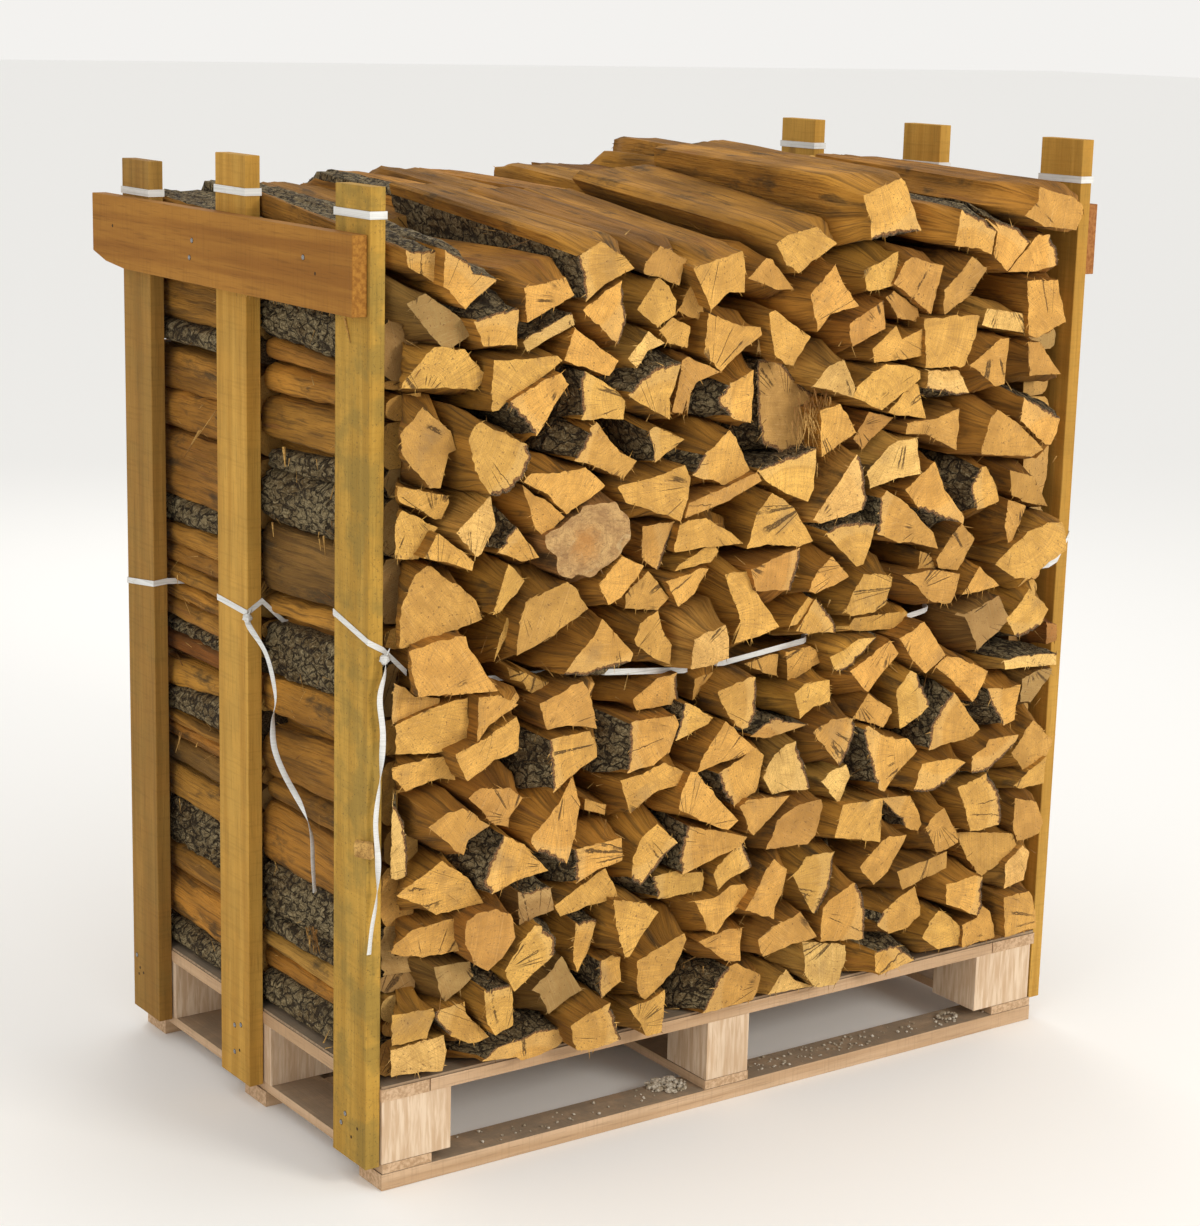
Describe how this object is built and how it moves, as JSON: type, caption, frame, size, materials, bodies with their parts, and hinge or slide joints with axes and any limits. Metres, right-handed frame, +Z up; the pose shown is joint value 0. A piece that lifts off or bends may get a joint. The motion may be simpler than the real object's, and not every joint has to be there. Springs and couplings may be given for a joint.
{
  "type": "firewood crate",
  "caption": "Split firewood logs stacked in two rows on a small wooden pallet between upright boards, tied with white twine.",
  "frame": {"origin": "on the floor under the middle of the crate", "axes": "+Z up, +X along the front to the right, +Y from the front towards the back"},
  "size_m": [1.2892, 0.8272, 1.395],
  "materials": {
    "dusty_board": "rough sawn, dusty",
    "pale_board": "rough sawn",
    "block_end_grain": "sawn end grain",
    "weathered_post": "weathered",
    "sawn_post": "rough sawn",
    "cross_board": "rough sawn",
    "white_strap": "satin",
    "split_oak": "split and sawn"
  },
  "bodies": {
    "root": {"block_back_left": "block_end_grain", "block_back_middle": "block_end_grain", "block_back_right": "block_end_grain", "block_front_left": "block_end_grain", "block_front_middle": "block_end_grain", "block_front_right": "block_end_grain", "block_middle_left": "block_end_grain", "block_middle_middle": "block_end_grain", "block_middle_right": "block_end_grain", "bottom_board_back": "dusty_board", "bottom_board_front": "dusty_board", "bottom_board_middle": "dusty_board", "cross_board_left": "cross_board", "cross_board_right": "cross_board", "deck_sheet": "dusty_board", "firewood_back_lower_left": "split_oak", "firewood_back_lower_right": "split_oak", "firewood_back_upper_left": "split_oak", "firewood_back_upper_right": "split_oak", "firewood_front_bottom_far_left": "split_oak", "firewood_front_bottom_far_right": "split_oak", "firewood_front_bottom_left": "split_oak", "firewood_front_bottom_right": "split_oak", "firewood_front_lower_far_left": "split_oak", "firewood_front_lower_far_right": "split_oak", "firewood_front_lower_left": "split_oak", "firewood_front_lower_right": "split_oak", "firewood_front_top_far_left": "split_oak", "firewood_front_top_far_right": "split_oak", "firewood_front_top_left": "split_oak", "firewood_front_top_right": "split_oak", "firewood_front_upper_far_left": "split_oak", "firewood_front_upper_far_right": "split_oak", "firewood_front_upper_left": "split_oak", "firewood_front_upper_right": "split_oak", "lower_runner_left": "pale_board", "lower_runner_middle": "pale_board", "lower_runner_right": "pale_board", "post_left_back": "sawn_post", "post_left_front": "weathered_post", "post_left_middle": "sawn_post", "post_right_back": "sawn_post", "post_right_front": "sawn_post", "post_right_middle": "sawn_post", "top_strap_left_back": "white_strap", "top_strap_left_front": "white_strap", "top_strap_left_middle": "white_strap", "top_strap_right_back": "white_strap", "top_strap_right_front": "white_strap", "top_strap_right_middle": "white_strap", "twine_end_front": "white_strap", "twine_end_middle": "white_strap", "twine_loop_back": "white_strap", "twine_loop_front": "white_strap", "twine_loop_middle": "white_strap", "upper_board_back": "dusty_board", "upper_board_front": "dusty_board", "upper_board_middle": "dusty_board", "upper_runner_left": "dusty_board", "upper_runner_right": "dusty_board"}
  },
  "joints": []
}
